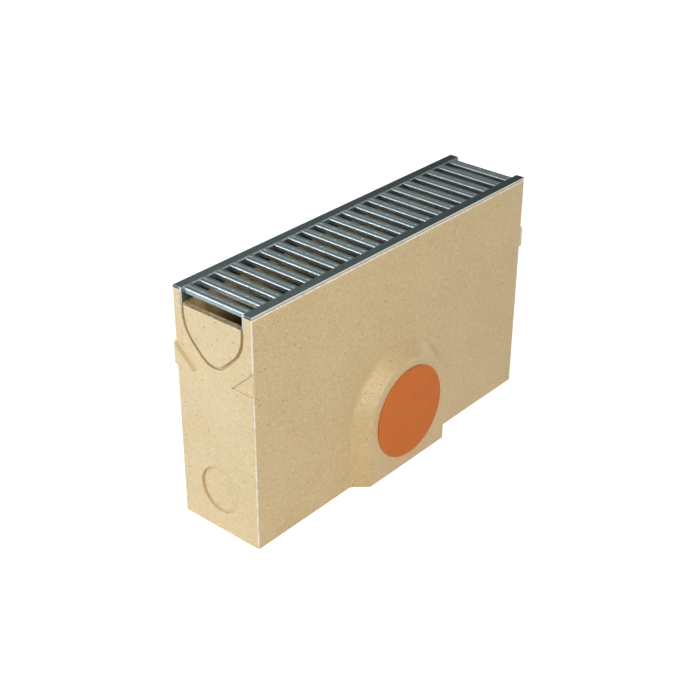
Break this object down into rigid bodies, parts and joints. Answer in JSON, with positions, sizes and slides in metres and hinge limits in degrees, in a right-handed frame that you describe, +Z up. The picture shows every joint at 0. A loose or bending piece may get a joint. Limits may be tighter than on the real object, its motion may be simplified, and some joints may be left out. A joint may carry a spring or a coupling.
{
  "type": "channel drain sump unit",
  "caption": "Polymer concrete sump box for a channel drain, with a pressed slotted steel grating, a plugged side pipe outlet on a sloping boss and a lift-out silt bucket inside.",
  "frame": {"origin": "centre of the box's underside, where it stands on its bed", "axes": "+X along the channel, -Y towards the outlet, +Z up to the grating"},
  "size_m": [0.507, 0.1396, 0.3],
  "materials": {
    "polymer_concrete": "fine-grained cast surface with small pits",
    "galvanised_steel": "hot-dip galvanised, satin",
    "orange_plastic": "moulded, satin",
    "socket_plastic": "moulded, satin",
    "seal_rubber": "matt",
    "bucket_plastic": "moulded, satin",
    "bail_plastic": "moulded, satin"
  },
  "bodies": {
    "sump": {"sump_body": "polymer_concrete", "grating": "galvanised_steel", "outlet_plug": "orange_plastic", "outlet_socket": "socket_plastic", "outlet_seal": "seal_rubber", "silt_bucket": "bucket_plastic"},
    "bail": {"bucket_bail": "bail_plastic"}
  },
  "joints": [
    {"name": "bail_swing", "type": "hinge", "parent": "sump", "child": "bail", "pos_m": [0, 0, 0.2078], "axis": [0, -1, 0], "range_deg": [0, 180]}
  ]
}
